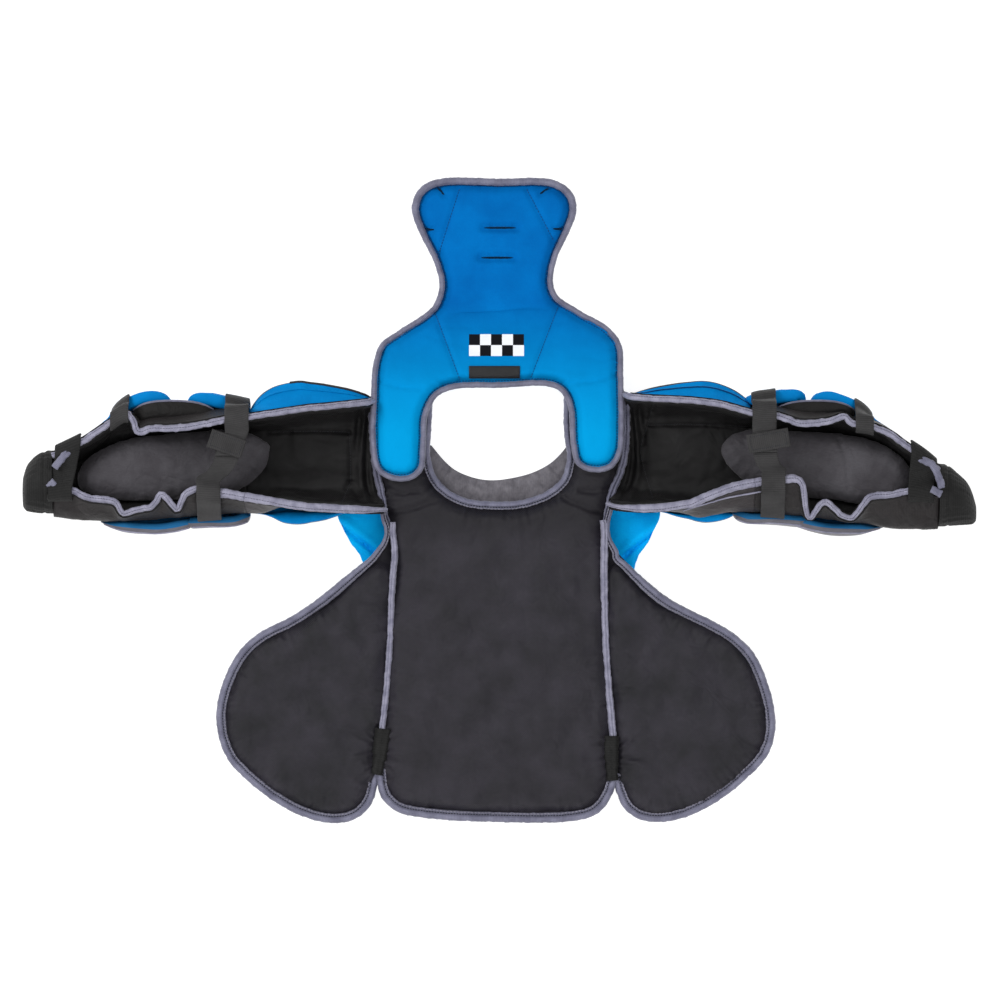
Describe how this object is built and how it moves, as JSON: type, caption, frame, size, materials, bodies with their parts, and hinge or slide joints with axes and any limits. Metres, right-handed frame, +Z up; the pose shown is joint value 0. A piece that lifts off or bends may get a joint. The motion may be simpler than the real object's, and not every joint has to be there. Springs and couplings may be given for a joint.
{
  "type": "goalie chest and arm protector",
  "caption": "Padded chest panel with side wings, open padded arm sleeves with elbow and wrist straps, and a shaped back pad that hangs from the shoulders round a neck opening.",
  "frame": {"origin": "under the middle of the whole outline, on the surface that it lies on", "axes": "+X to the wearer's right arm, +Y from the belly edge to the back pad, +Z up, out of the body side"},
  "size_m": [0.955, 0.644, 0.0865],
  "materials": {
    "lining": "woven nylon, slight sheen",
    "binding": "stretch binding tape",
    "blue_foam": "knit-faced foam, matte",
    "liner": "brushed nylon",
    "webbing": "ribbed elastic",
    "collar": "brushed knit"
  },
  "bodies": {
    "root": {"back_binding": "binding", "back_pad": "blue_foam", "belly_binding": "binding", "chest_panel": "lining", "collar": "collar", "left_armhole_binding": "binding", "left_cuff": "webbing", "left_elastic_tab": "webbing", "left_elbow_cup": "lining", "left_elbow_guard": "blue_foam", "left_elbow_liner": "liner", "left_elbow_strap_lower": "webbing", "left_elbow_strap_upper": "webbing", "left_forearm": "lining", "left_forearm_guard": "blue_foam", "left_forearm_low_binding": "binding", "left_forearm_top_binding": "binding", "left_guard_strap": "webbing", "left_seam_piping": "binding", "left_shoulder_cap": "blue_foam", "left_side_pad": "blue_foam", "left_upper_arm": "lining", "left_upper_arm_low_binding": "binding", "left_upper_arm_top_binding": "binding", "left_wing": "lining", "left_wing_binding": "binding", "left_wrist_strap": "webbing", "neck_binding": "binding", "neck_label": "webbing", "right_armhole_binding": "binding", "right_cuff": "webbing", "right_elastic_tab": "webbing", "right_elbow_cup": "lining", "right_elbow_guard": "blue_foam", "right_elbow_liner": "liner", "right_elbow_strap_lower": "webbing", "right_elbow_strap_upper": "webbing", "right_forearm": "lining", "right_forearm_guard": "blue_foam", "right_forearm_low_binding": "binding", "right_forearm_top_binding": "binding", "right_guard_strap": "webbing", "right_seam_piping": "binding", "right_shoulder_cap": "blue_foam", "right_side_pad": "blue_foam", "right_upper_arm": "lining", "right_upper_arm_low_binding": "binding", "right_upper_arm_top_binding": "binding", "right_wing": "lining", "right_wing_binding": "binding", "right_wrist_strap": "webbing"}
  },
  "joints": []
}
